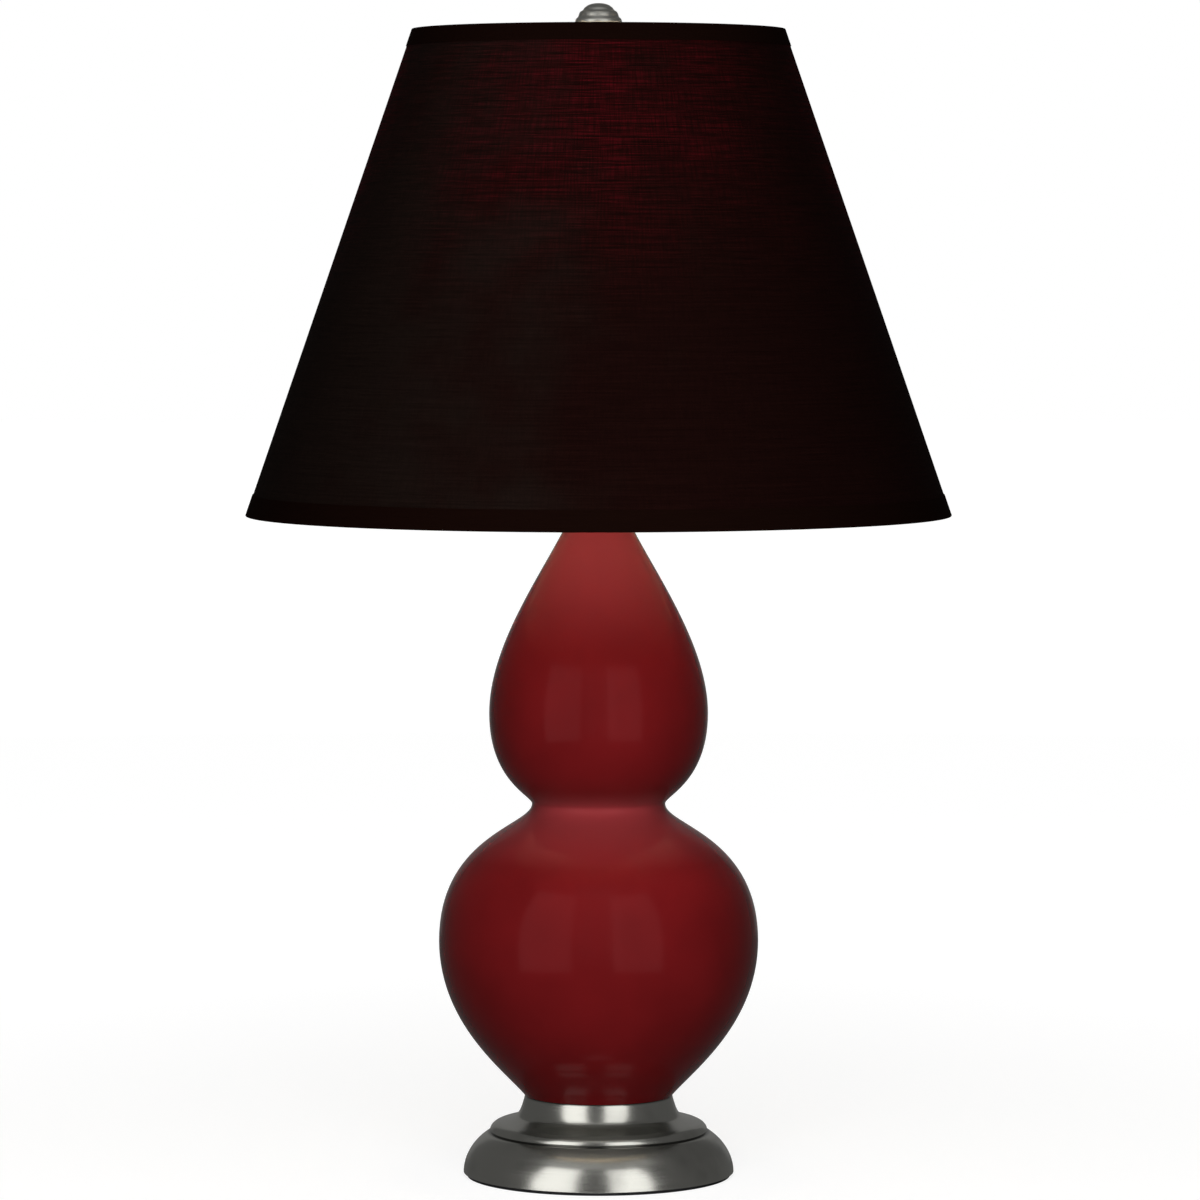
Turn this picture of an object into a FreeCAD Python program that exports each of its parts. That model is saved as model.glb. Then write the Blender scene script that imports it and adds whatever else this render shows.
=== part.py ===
import FreeCAD, Part
import math
import os

# Table lamp: a double-gourd ceramic body on a turned metal base, under an empire shade.
# Millimetres. +Z is up, the front faces -Y and the origin is the middle of the underside.

Vector = FreeCAD.Vector
ORIGIN = Vector(0, 0, 0)
UP = Vector(0, 0, 1)
RIGHT = Vector(1, 0, 0)
BACK = Vector(0, 1, 0)
FULL_TURN = 360

# ---------------------------------------------------------------- driving dimensions

# Metal base
FELT_THICKNESS = 1.6
FELT_RADIUS = 65.2
BASE_HEIGHT = 40.0
FOOT_RADIUS = 66.9
FOOT_EDGE = 1.3
OVOLO_START_Z = 3.2
OVOLO_MIDDLE = (62.9, 13.5)
OVOLO_END = (54.2, 21.4)
GROOVE_RADIUS = 52.4
BEAD_START = (53.5, 22.4)
BEAD_MIDDLE = (52.1, 24.7)
BEAD_END = (48.7, 26.8)
COVE_START = (43.6, 28.3)
COVE_MIDDLE = (39.6, 31.1)
COVE_END = (37.5, 36.0)
LIP_RADIUS = 36.4
LIP_EDGE = 1.4
BASE_RIM_WALL = 9.1
BASE_WIDE_DEPTH = 14.0
WEIGHT_CAVITY_RADIUS = 32.0
BASE_CROWN_THICKNESS = 6.0

# Weight and fasteners on the pipe
WEIGHT_CLEARANCE = 0.5
PIPE_RADIUS = 4.9
PIPE_BORE_RADIUS = 3.4
PIPE_END_ABOVE_FELT = 8.0
PIPE_END_BELOW_NUT = 1.8
PIPE_HOLE_CLEARANCE = 0.2
WASHER_RADIUS = 11.0
WASHER_THICKNESS = 1.6
NUT_ACROSS_FLATS = 15.0
NUT_THICKNESS = 5.0

# Cord bushing in the back of the base
BUSHING_HEIGHT = 8.0
BUSHING_FACE_Y = 63.0
BUSHING_RADIUS = 4.0
BUSHING_BORE_RADIUS = 2.9
BUSHING_FLANGE_RADIUS = 5.2
BUSHING_FLANGE_THICKNESS = 1.5
BUSHING_CLEARANCE = 0.1
BUSHING_RECESS_CLEARANCE = 0.5
BUSHING_TAIL = 1.5

# Gourd body, heights from its foot
GOURD_HEIGHT = 285.0
FOOT_RING_RADIUS = 36.5
FOOT_SLOPE = 0.844
FOOT_HANDLE = 16.6
LOWER_BULGE_RADIUS = 78.9
LOWER_BULGE_HEIGHT = 76.8
LOWER_BULGE_DOWN = 40.8
LOWER_BULGE_UP = 51.7
WAIST_RADIUS = 32.9
WAIST_HEIGHT = 144.6
WAIST_DOWN = 11.4
WAIST_UP = 4.1
UPPER_BULGE_RADIUS = 54.0
UPPER_BULGE_HEIGHT = 189.3
UPPER_BULGE_DOWN = 33.7
UPPER_BULGE_UP = 31.1
NECK_START_RADIUS = 18.24
NECK_CONE_HEIGHT = 7.0
NECK_SLOPE = 0.536
NECK_HANDLE = 28.4
GOURD_HOLE_RADIUS = 6.0
RUNS_PER_GOURD_CURVE = 5

# Fittings on top of the gourd
CAP_RADIUS = 15.6
CAP_EDGE = 2.0
CAP_TOP_RADIUS = 9.0
CAP_HEIGHT = 7.0
SPACER_RADIUS = 7.5
SPACER_HEIGHT = 12.0

# Harp, its saddle and its sleeves
SADDLE_THICKNESS = 1.6
SADDLE_WIDTH = 15.0
SADDLE_HALF_SPAN = 28.0
SADDLE_ARM_RISE = 8.0
HARP_WIRE_RADIUS = 1.7
HARP_JOINT_RISE = 13.0
HARP_HEIGHT = 203.0
HARP_HALF_WIDTH = 57.0
HARP_WIDEST_RISE = 112.0
HARP_LEG_STRAIGHT = 24.0
HARP_LOWER_HANDLE = 34.0
HARP_UPPER_HANDLE = 52.0
HARP_CROWN_HANDLE = 30.0
RUNS_PER_HARP_CURVE = 4
CROWN_RADIUS = 7.5
CROWN_THICKNESS = 4.0
SLEEVE_RADIUS = 3.2
SLEEVE_LENGTH = 14.0
SLEEVE_CLEARANCE = 0.06

# Swivel stud on the harp
STUD_HEAD_RADIUS = 5.5
STUD_HEAD_THICKNESS = 2.2
STUD_HEAD_GAP = 0.3
STUD_SHANK_RADIUS = 3.2
STUD_CLEARANCE = 0.08
STUD_SEAT_RADIUS = 7.0
STUD_SEAT_THICKNESS = 2.6
POST_RADIUS = 3.15
POST_LENGTH = 12.0
POST_CLEARANCE = 0.1

# Lamp socket
SHELL_RADIUS = 16.0
SHELL_WALL = 0.7
SHELL_LENGTH = 48.0
SOCKET_CAP_WALL = 1.0
SOCKET_CAP_HUB_RADIUS = 9.0
SOCKET_CAP_HUB_HEIGHT = 6.0
SOCKET_CAP_FLOOR = 2.0
SOCKET_CAP_SKIRT = 8.0
PIPE_STANDS_PROUD = 1.4
CORE_RECESS_RADIUS = 8.0
CORE_RECESS_HEIGHT = 3.0
CORE_RADIUS = 14.0
CORE_HEIGHT = 20.0
CORE_FLAT_X = 11.5
CORE_FLAT_HEIGHT = 12.0
SCREW_SHELL_WALL = 0.6
SCREW_SHELL_LENGTH = 25.0
CONTACT_LENGTH = 9.0
CONTACT_WIDTH = 4.0
CONTACT_THICKNESS = 0.8
CONTACT_RISE = 3.2
TERMINAL_HEAD_RADIUS = 2.6
TERMINAL_HEAD_THICKNESS = 1.9
TERMINAL_SIDES = 8

# Switch on the front of the socket
SWITCH_RISE = 14.0
STEM_RADIUS = 1.6
STEM_CLEARANCE = 0.06
STEM_DEPTH = 8.0
STEM_INNER_Y = -6.0
STEM_HOLE_RADIUS = 2.4
KNOB_FACE_Y = -23.0
KNOB_LENGTH = 14.0
KNOB_ACROSS_FLATS = 11.0
KNOB_SIDES = 12

# Bulb, heights from its contact
BULB_LENGTH = 107.0
BULB_CAP_RADIUS = 13.0
BULB_CAP_LENGTH = 25.8
BULB_TIP_RADIUS = 4.5
BULB_TIP_HEIGHT = 2.2
BULB_THROAT_HEIGHT = 36.0
BULB_SHOULDER = (27.0, 59.0)
BULB_RADIUS = 30.0
BULB_BELT_LOW = 68.0
BULB_BELT_HIGH = 79.0
BULB_CROWN = (25.6, 94.0)
BULB_TOP = (12.5, 104.8)

# Shade
SHADE_HEIGHT = 237.5
SHADE_TOP_RADIUS = 91.2
SHADE_BOTTOM_RADIUS = 173.2
SHADE_THICKNESS = 1.2
TRIM_THICKNESS = 0.3
TRIM_GLUE_LINE = 0.1
TOP_TRIM_HEIGHT = 8.0
BOTTOM_TRIM_HEIGHT = 10.0
RING_WIRE = 2.8
RING_SETBACK = 0.6
HUB_RADIUS = 12.5
HUB_THICKNESS = 2.0
SPIDER_RISE = 16.4
SPIDER_ARMS = 3
SPIDER_ARM_RADIUS = 1.25

# Finial, heights from its seat
FINIAL_HEIGHT = 27.4
FINIAL_FOOT_RADIUS = 7.5
FINIAL_FOOT_HEIGHT = 2.2
FINIAL_STEM_RADIUS = 5.4
FINIAL_STEM_HEIGHT = 7.0
FINIAL_BOWL_HEIGHT = 13.0
FINIAL_LOW_RING_RADIUS = 11.4
FINIAL_LOW_RING_TOP = 20.2
FINIAL_MIDDLE_RING_RADIUS = 9.5
FINIAL_MIDDLE_RING_TOP = 23.6
FINIAL_DOME_RADIUS = 7.1
FINIAL_DOME_SPRING = 24.8
FINIAL_DOME_TOP_RADIUS = 3.4
FINIAL_SOCKET_DEPTH = 12.6

# ---------------------------------------------------------------- levels worked out from them

GOURD_TOP_Z = BASE_HEIGHT + GOURD_HEIGHT
CAP_TOP_Z = GOURD_TOP_Z + CAP_HEIGHT
SPACER_TOP_Z = CAP_TOP_Z + SPACER_HEIGHT
SADDLE_TOP_Z = SPACER_TOP_Z + SADDLE_THICKNESS
SADDLE_ARM_TOP_Z = SADDLE_TOP_Z + SADDLE_ARM_RISE
HARP_JOINT_Z = SADDLE_TOP_Z + HARP_JOINT_RISE
SHADE_SEAT_Z = SADDLE_TOP_Z + HARP_HEIGHT
CROWN_TOP_Z = SHADE_SEAT_Z - STUD_SEAT_THICKNESS
CROWN_BOTTOM_Z = CROWN_TOP_Z - CROWN_THICKNESS
HUB_TOP_Z = SHADE_SEAT_Z + HUB_THICKNESS
SHADE_TOP_Z = SHADE_SEAT_Z + SPIDER_RISE
SHADE_BOTTOM_Z = SHADE_TOP_Z - SHADE_HEIGHT
SHELL_BOTTOM_Z = SADDLE_TOP_Z + SOCKET_CAP_HUB_HEIGHT + SOCKET_CAP_FLOOR
SHELL_TOP_Z = SHELL_BOTTOM_Z + SHELL_LENGTH
PIPE_TOP_Z = SHELL_BOTTOM_Z + PIPE_STANDS_PROUD
CORE_BASE_Z = SHELL_BOTTOM_Z + CORE_RECESS_HEIGHT
CORE_TOP_Z = SHELL_BOTTOM_Z + CORE_HEIGHT
SWITCH_Z = SHELL_BOTTOM_Z + SWITCH_RISE
BULB_CONTACT_Z = CORE_TOP_Z + CONTACT_RISE
PIPE_HOLE_RADIUS = PIPE_RADIUS + PIPE_HOLE_CLEARANCE
SHELL_INNER_RADIUS = SHELL_RADIUS - SHELL_WALL
PIPE_END_Z = FELT_THICKNESS + PIPE_END_ABOVE_FELT
NUT_BOTTOM_Z = PIPE_END_Z + PIPE_END_BELOW_NUT
WASHER_BOTTOM_Z = NUT_BOTTOM_Z + NUT_THICKNESS
WEIGHT_BOTTOM_Z = WASHER_BOTTOM_Z + WASHER_THICKNESS
WEIGHT_TOP_Z = BASE_HEIGHT - BASE_CROWN_THICKNESS
NECK_START_Z = GOURD_TOP_Z - NECK_CONE_HEIGHT
TRIM_INSET = -TRIM_THICKNESS - TRIM_GLUE_LINE


# ---------------------------------------------------------------- helpers


def section(radius, height):
    """A point of a turned piece's outline, in the XZ plane."""
    return Vector(radius, 0, height)


def turned(outline):
    """A solid of revolution about +Z from (radius, height) corners."""
    corners = [section(radius, height) for radius, height in outline]
    wire = Part.makePolygon(corners + corners[:1])
    return Part.Face(wire).revolve(ORIGIN, UP, FULL_TURN)


def tube(outer_radius, inner_radius, bottom, top):
    """A plain ring or tube about +Z."""
    return turned([(inner_radius, bottom), (outer_radius, bottom), (outer_radius, top), (inner_radius, top)])


def rod(start, end, radius):
    """A round bar between two points."""
    along = end - start
    return Part.makeCylinder(radius, along.Length, start, along)


def prism(sides, across_flats, start, along):
    """A regular bar about the line from start, as long as along."""
    corner_radius = across_flats / 2 / math.cos(math.pi / sides)
    step = 2 * math.pi / sides
    corners = [
        Vector(corner_radius * math.cos(step * i), corner_radius * math.sin(step * i), 0) for i in range(sides)
    ]
    wire = Part.makePolygon(corners + corners[:1])
    bar = Part.Face(wire).extrude(UP * along.Length)
    bar.Placement = FreeCAD.Placement(start, FreeCAD.Rotation(UP, along))
    return bar


def runs_along(curve, count):
    """(radius, height) of the ends of equal straight runs along a curve, after its first point."""
    span = curve.LastParameter - curve.FirstParameter
    points = [curve.value(curve.FirstParameter + span * i / count) for i in range(1, count + 1)]
    return [(point.x, point.z) for point in points]


def arc_runs(start, middle, end, count):
    """A round moulding through three outline points, as straight runs that start with its first point."""
    arc = Part.Arc(section(*start), section(*middle), section(*end))
    return [start] + runs_along(arc, count)


def bezier(points):
    """A Bezier curve in the XZ plane from (radius, height) control points."""
    curve = Part.BezierCurve()
    curve.setPoles([section(*point) for point in points])
    return curve


def shade_radius(height):
    """The outside radius of the shade's panel at a height."""
    share = (height - SHADE_BOTTOM_Z) / SHADE_HEIGHT
    return SHADE_BOTTOM_RADIUS + share * (SHADE_TOP_RADIUS - SHADE_BOTTOM_RADIUS)


def shade_strip(inset, thickness, bottom, top):
    """A strip of the shade's cone, with its outside set in from the panel's outside by inset."""
    low = shade_radius(bottom) - inset
    high = shade_radius(top) - inset
    return turned([(low - thickness, bottom), (low, bottom), (high, top), (high - thickness, top)])


# ---------------------------------------------------------------- base


def base_shell():
    """Turned metal base: ovolo foot, groove, bead, shelf, cove and lip, cored from below."""
    rim_inner = FOOT_RADIUS - FOOT_EDGE - BASE_RIM_WALL
    foot = [(FOOT_RADIUS - FOOT_EDGE, FELT_THICKNESS)]
    ovolo = arc_runs((FOOT_RADIUS, OVOLO_START_Z), OVOLO_MIDDLE, OVOLO_END, 3)
    groove = [(GROOVE_RADIUS, OVOLO_END[1]), (GROOVE_RADIUS, BEAD_START[1])]
    bead = arc_runs(BEAD_START, BEAD_MIDDLE, BEAD_END, 2)
    cove = arc_runs(COVE_START, COVE_MIDDLE, COVE_END, 2)
    lip = [(LIP_RADIUS, BASE_HEIGHT - LIP_EDGE), (LIP_RADIUS, BASE_HEIGHT)]
    core = [
        (PIPE_HOLE_RADIUS, BASE_HEIGHT),
        (PIPE_HOLE_RADIUS, WEIGHT_TOP_Z),
        (WEIGHT_CAVITY_RADIUS, WEIGHT_TOP_Z),
        (WEIGHT_CAVITY_RADIUS, BASE_WIDE_DEPTH),
        (rim_inner, BASE_WIDE_DEPTH),
        (rim_inner, FELT_THICKNESS),
    ]
    shell = turned(foot + ovolo + groove + bead + cove + lip + core)
    hole_start = Vector(0, rim_inner - BUSHING_TAIL, BUSHING_HEIGHT)
    hole = rod(hole_start, hole_start + BACK * FOOT_RADIUS, BUSHING_RADIUS + BUSHING_CLEARANCE)
    recess_start = Vector(0, BUSHING_FACE_Y, BUSHING_HEIGHT)
    recess_radius = BUSHING_FLANGE_RADIUS + BUSHING_RECESS_CLEARANCE
    recess = rod(recess_start, recess_start + BACK * FOOT_RADIUS, recess_radius)
    return shell.cut(hole).cut(recess)


def felt_pad():
    """Felt disc glued to the underside, on which the lamp stands."""
    return Part.makeCylinder(FELT_RADIUS, FELT_THICKNESS)


def base_weight():
    """Cast-iron disc clamped up into the base."""
    return tube(WEIGHT_CAVITY_RADIUS - WEIGHT_CLEARANCE, PIPE_HOLE_RADIUS, WEIGHT_BOTTOM_Z, WEIGHT_TOP_Z)


def base_washer():
    """Flat washer between the weight and the nut."""
    return tube(WASHER_RADIUS, PIPE_HOLE_RADIUS, WASHER_BOTTOM_Z, WEIGHT_BOTTOM_Z)


def base_nut():
    """Hexagon nut that draws the whole stack together."""
    nut = prism(6, NUT_ACROSS_FLATS, UP * NUT_BOTTOM_Z, UP * NUT_THICKNESS)
    return nut.cut(Part.makeCylinder(PIPE_RADIUS, NUT_THICKNESS, UP * NUT_BOTTOM_Z))


def cord_bushing():
    """Flanged bushing that the supply cord would leave the base through."""
    tail_y = FOOT_RADIUS - FOOT_EDGE - BASE_RIM_WALL - BUSHING_TAIL
    tail = Vector(0, tail_y, BUSHING_HEIGHT)
    seat = Vector(0, BUSHING_FACE_Y, BUSHING_HEIGHT)
    face = seat + BACK * BUSHING_FLANGE_THICKNESS
    body = rod(tail, face, BUSHING_RADIUS).fuse(rod(seat, face, BUSHING_FLANGE_RADIUS))
    return body.cut(rod(tail, face, BUSHING_BORE_RADIUS))


def center_pipe():
    """Threaded tube that carries the wires and holds the lamp together."""
    return tube(PIPE_RADIUS, PIPE_BORE_RADIUS, PIPE_END_Z, PIPE_TOP_Z)


# ---------------------------------------------------------------- gourd


def gourd_curves():
    """The four Bezier curves of the gourd's outline, from the foot up, upright at both bulges and the waist."""
    foot = (FOOT_RING_RADIUS, BASE_HEIGHT)
    foot_length = math.hypot(FOOT_SLOPE, 1)
    foot_handle = (
        FOOT_RING_RADIUS + FOOT_SLOPE / foot_length * FOOT_HANDLE,
        BASE_HEIGHT + FOOT_HANDLE / foot_length,
    )
    lower_z = BASE_HEIGHT + LOWER_BULGE_HEIGHT
    lower = (LOWER_BULGE_RADIUS, lower_z)
    waist_z = BASE_HEIGHT + WAIST_HEIGHT
    waist = (WAIST_RADIUS, waist_z)
    upper_z = BASE_HEIGHT + UPPER_BULGE_HEIGHT
    upper = (UPPER_BULGE_RADIUS, upper_z)
    neck = (NECK_START_RADIUS, NECK_START_Z)
    neck_length = math.hypot(NECK_SLOPE, 1)
    neck_handle = (
        NECK_START_RADIUS + NECK_SLOPE / neck_length * NECK_HANDLE,
        NECK_START_Z - NECK_HANDLE / neck_length,
    )
    below_lower = (LOWER_BULGE_RADIUS, lower_z - LOWER_BULGE_DOWN)
    above_lower = (LOWER_BULGE_RADIUS, lower_z + LOWER_BULGE_UP)
    below_waist = (WAIST_RADIUS, waist_z - WAIST_DOWN)
    above_waist = (WAIST_RADIUS, waist_z + WAIST_UP)
    below_upper = (UPPER_BULGE_RADIUS, upper_z - UPPER_BULGE_DOWN)
    above_upper = (UPPER_BULGE_RADIUS, upper_z + UPPER_BULGE_UP)
    return [
        bezier([foot, foot_handle, below_lower, lower]),
        bezier([lower, above_lower, below_waist, waist]),
        bezier([waist, above_waist, below_upper, upper]),
        bezier([upper, above_upper, neck_handle, neck]),
    ]


def gourd_body():
    """Glazed double gourd, closed inside, with a hole for the pipe and a straight conical neck."""
    outline = [(GOURD_HOLE_RADIUS, BASE_HEIGHT), (FOOT_RING_RADIUS, BASE_HEIGHT)]
    for curve in gourd_curves():
        outline += runs_along(curve, RUNS_PER_GOURD_CURVE)
    mouth_radius = NECK_START_RADIUS - NECK_SLOPE * NECK_CONE_HEIGHT
    outline += [(mouth_radius, GOURD_TOP_Z), (GOURD_HOLE_RADIUS, GOURD_TOP_Z)]
    return turned(outline)


def vase_cap():
    """Domed cap that closes the gourd's mouth."""
    return turned([
        (PIPE_RADIUS, GOURD_TOP_Z),
        (CAP_RADIUS, GOURD_TOP_Z),
        (CAP_RADIUS, GOURD_TOP_Z + CAP_EDGE),
        (CAP_TOP_RADIUS, CAP_TOP_Z),
        (PIPE_RADIUS, CAP_TOP_Z),
    ])


def neck_spacer():
    """Tube that lifts the socket clear of the cap."""
    return tube(SPACER_RADIUS, PIPE_HOLE_RADIUS, CAP_TOP_Z, SPACER_TOP_Z)


# ---------------------------------------------------------------- harp


def harp_saddle():
    """Bent strap under the socket, with a round peg on each raised arm."""
    outer = SADDLE_HALF_SPAN + SADDLE_THICKNESS / 2
    inner = SADDLE_HALF_SPAN - SADDLE_THICKNESS / 2
    half = [(outer, SPACER_TOP_Z), (outer, SADDLE_ARM_TOP_Z), (inner, SADDLE_ARM_TOP_Z), (inner, SADDLE_TOP_Z)]
    corners = [Vector(x, -SADDLE_WIDTH / 2, z) for x, z in half]
    corners += [Vector(-x, -SADDLE_WIDTH / 2, z) for x, z in reversed(half)]
    strap = Part.Face(Part.makePolygon(corners + corners[:1])).extrude(BACK * SADDLE_WIDTH)
    strap = strap.cut(Part.makeCylinder(PIPE_HOLE_RADIUS, SADDLE_THICKNESS, UP * SPACER_TOP_Z))
    for side in (-1, 1):
        foot = Vector(side * SADDLE_HALF_SPAN, 0, SADDLE_ARM_TOP_Z - SADDLE_THICKNESS)
        strap = strap.fuse(rod(foot, Vector(foot.x, 0, HARP_JOINT_Z), HARP_WIRE_RADIUS))
    return strap


def harp_path():
    """Centre line of the right half of the harp, from its leg's end to inside the crown."""
    leg_top_z = HARP_JOINT_Z + HARP_LEG_STRAIGHT
    widest_z = SADDLE_TOP_Z + HARP_WIDEST_RISE
    crown_z = CROWN_TOP_Z - CROWN_THICKNESS / 2
    leg_top = (SADDLE_HALF_SPAN, leg_top_z)
    widest = (HARP_HALF_WIDTH, widest_z)
    lower = bezier([
        leg_top,
        (SADDLE_HALF_SPAN, leg_top_z + HARP_LOWER_HANDLE),
        (HARP_HALF_WIDTH, widest_z - HARP_LOWER_HANDLE),
        widest,
    ])
    upper = bezier([
        widest,
        (HARP_HALF_WIDTH, widest_z + HARP_UPPER_HANDLE),
        (STUD_HEAD_RADIUS + HARP_CROWN_HANDLE, crown_z),
        (STUD_HEAD_RADIUS, crown_z),
    ])
    path = [(SADDLE_HALF_SPAN, HARP_JOINT_Z), leg_top]
    path += runs_along(lower, RUNS_PER_HARP_CURVE)
    path += runs_along(upper, RUNS_PER_HARP_CURVE)
    return [section(*point) for point in path]


def harp():
    """Wire loop that carries the shade, mitred from short straight runs, with a bored crown."""
    path = harp_path()
    sweep = Part.BRepOffsetAPI.MakePipeShell(Part.makePolygon(path))
    sweep.add(Part.Wire([Part.Circle(path[0], UP, HARP_WIRE_RADIUS).toShape()]))
    sweep.setTransitionMode(1)
    sweep.build()
    sweep.makeSolid()
    right = sweep.shape()
    left = right.mirror(ORIGIN, RIGHT)
    crown = Part.makeCylinder(CROWN_RADIUS, CROWN_THICKNESS, UP * CROWN_BOTTOM_Z)
    bore = Part.makeCylinder(STUD_SHANK_RADIUS + STUD_CLEARANCE, CROWN_THICKNESS, UP * CROWN_BOTTOM_Z)
    return crown.fuse([right, left]).cut(bore)


def harp_sleeve(side):
    """Ferrule that slides down over a leg's end and locks it to the saddle."""
    sleeve = tube(
        SLEEVE_RADIUS,
        HARP_WIRE_RADIUS + SLEEVE_CLEARANCE,
        SADDLE_ARM_TOP_Z,
        SADDLE_ARM_TOP_Z + SLEEVE_LENGTH,
    )
    sleeve.translate(RIGHT * side * SADDLE_HALF_SPAN)
    return sleeve


def harp_stud():
    """Swivel stud: a head under the crown, the shade's seat above it and the post for the finial."""
    head_top_z = CROWN_BOTTOM_Z - STUD_HEAD_GAP
    head_bottom_z = head_top_z - STUD_HEAD_THICKNESS
    return turned([
        (0, head_bottom_z),
        (STUD_HEAD_RADIUS, head_bottom_z),
        (STUD_HEAD_RADIUS, head_top_z),
        (STUD_SHANK_RADIUS, head_top_z),
        (STUD_SHANK_RADIUS, CROWN_TOP_Z),
        (STUD_SEAT_RADIUS, CROWN_TOP_Z),
        (STUD_SEAT_RADIUS, SHADE_SEAT_Z),
        (POST_RADIUS, SHADE_SEAT_Z),
        (POST_RADIUS, SHADE_SEAT_Z + POST_LENGTH),
        (0, SHADE_SEAT_Z + POST_LENGTH),
    ])


# ---------------------------------------------------------------- socket and switch


def socket_cap():
    """Cup screwed on the pipe, which holds the socket's shell."""
    outer = SHELL_RADIUS + SOCKET_CAP_WALL
    hub_top_z = SADDLE_TOP_Z + SOCKET_CAP_HUB_HEIGHT
    rim_z = SHELL_BOTTOM_Z + SOCKET_CAP_SKIRT
    return turned([
        (PIPE_RADIUS, SADDLE_TOP_Z),
        (SOCKET_CAP_HUB_RADIUS, SADDLE_TOP_Z),
        (SOCKET_CAP_HUB_RADIUS, hub_top_z),
        (outer, hub_top_z),
        (outer, rim_z),
        (SHELL_RADIUS, rim_z),
        (SHELL_RADIUS, SHELL_BOTTOM_Z),
        (PIPE_RADIUS, SHELL_BOTTOM_Z),
    ])


def switch_hole(shape, radius):
    """The shape with the switch stem's hole through its front."""
    start = Vector(0, STEM_INNER_Y, SWITCH_Z)
    return shape.cut(rod(start, Vector(0, KNOB_FACE_Y, SWITCH_Z), radius))


def socket_shell():
    """Thin metal shell of the socket."""
    return switch_hole(tube(SHELL_RADIUS, SHELL_INNER_RADIUS, SHELL_BOTTOM_Z, SHELL_TOP_Z), STEM_HOLE_RADIUS)


def socket_core():
    """Moulded block that carries the contacts and the switch, with a flat for each terminal screw."""
    core = tube(CORE_RADIUS, CORE_RECESS_RADIUS, SHELL_BOTTOM_Z, CORE_BASE_Z)
    core = core.fuse(Part.makeCylinder(CORE_RADIUS, CORE_TOP_Z - CORE_BASE_Z, UP * CORE_BASE_Z))
    for x in (CORE_FLAT_X, -CORE_FLAT_X - CORE_RADIUS):
        corner = Vector(x, -CORE_RADIUS, CORE_BASE_Z)
        core = core.cut(Part.makeBox(CORE_RADIUS, 2 * CORE_RADIUS, CORE_FLAT_HEIGHT, corner))
    return switch_hole(core, STEM_RADIUS + STEM_CLEARANCE)


def screw_shell():
    """Threaded shell that the bulb screws into."""
    return tube(CORE_RADIUS, CORE_RADIUS - SCREW_SHELL_WALL, CORE_TOP_Z, CORE_TOP_Z + SCREW_SHELL_LENGTH)


def centre_contact():
    """Bent spring strip under the bulb's contact."""
    half = CONTACT_LENGTH / 2
    low = CORE_TOP_Z
    high = CORE_TOP_Z + CONTACT_RISE
    outline = [
        (-half, low),
        (0, low),
        (0, low + CONTACT_THICKNESS),
        (CONTACT_THICKNESS - half, low + CONTACT_THICKNESS),
        (CONTACT_THICKNESS - half, high - CONTACT_THICKNESS),
        (half, high - CONTACT_THICKNESS),
        (half, high),
        (-half, high),
    ]
    corners = [Vector(x, -CONTACT_WIDTH / 2, z) for x, z in outline]
    return Part.Face(Part.makePolygon(corners + corners[:1])).extrude(BACK * CONTACT_WIDTH)


def terminal_screws():
    """One screw head on each flat of the core."""
    height = CORE_BASE_Z + CORE_FLAT_HEIGHT / 2
    heads = []
    for side in (-1, 1):
        start = Vector(side * CORE_FLAT_X, 0, height)
        along = RIGHT * side * TERMINAL_HEAD_THICKNESS
        heads.append(prism(TERMINAL_SIDES, 2 * TERMINAL_HEAD_RADIUS, start, along))
    return Part.makeCompound(heads)


def switch_stem():
    """Shaft that turns the switch inside the core."""
    start = Vector(0, STEM_INNER_Y, SWITCH_Z)
    return rod(start, Vector(0, KNOB_FACE_Y - STEM_DEPTH, SWITCH_Z), STEM_RADIUS)


def switch_knob():
    """Fluted knob on the stem."""
    face = Vector(0, KNOB_FACE_Y, SWITCH_Z)
    knob = prism(KNOB_SIDES, KNOB_ACROSS_FLATS, face, BACK * -KNOB_LENGTH)
    return knob.cut(rod(face, face - BACK * STEM_DEPTH, STEM_RADIUS))


# ---------------------------------------------------------------- bulb


def raised(points, height):
    """Outline points lifted by a height."""
    return [(radius, level + height) for radius, level in points]


def bulb_cap():
    """Metal screw cap of the bulb, with its insulator and contact."""
    return turned(raised([
        (0, 0),
        (BULB_TIP_RADIUS, 0),
        (BULB_TIP_RADIUS, BULB_TIP_HEIGHT),
        (BULB_CAP_RADIUS, BULB_TIP_HEIGHT),
        (BULB_CAP_RADIUS, BULB_CAP_LENGTH),
        (0, BULB_CAP_LENGTH),
    ], BULB_CONTACT_Z))


def bulb_glass():
    """Envelope of the bulb."""
    return turned(raised([
        (0, BULB_CAP_LENGTH),
        (BULB_CAP_RADIUS, BULB_CAP_LENGTH),
        (BULB_CAP_RADIUS, BULB_THROAT_HEIGHT),
        BULB_SHOULDER,
        (BULB_RADIUS, BULB_BELT_LOW),
        (BULB_RADIUS, BULB_BELT_HIGH),
        BULB_CROWN,
        BULB_TOP,
        (0, BULB_LENGTH),
    ], BULB_CONTACT_Z))


# ---------------------------------------------------------------- shade


def shade_panel():
    """Straight-sided sheet of the shade, fabric bonded to a stiff backing."""
    return shade_strip(0, SHADE_THICKNESS, SHADE_BOTTOM_Z, SHADE_TOP_Z)


def shade_top_trim():
    """Band of fabric round the top edge."""
    return shade_strip(TRIM_INSET, TRIM_THICKNESS, SHADE_TOP_Z - TOP_TRIM_HEIGHT, SHADE_TOP_Z)


def shade_bottom_trim():
    """Band of fabric round the bottom edge."""
    return shade_strip(TRIM_INSET, TRIM_THICKNESS, SHADE_BOTTOM_Z, SHADE_BOTTOM_Z + BOTTOM_TRIM_HEIGHT)


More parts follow.
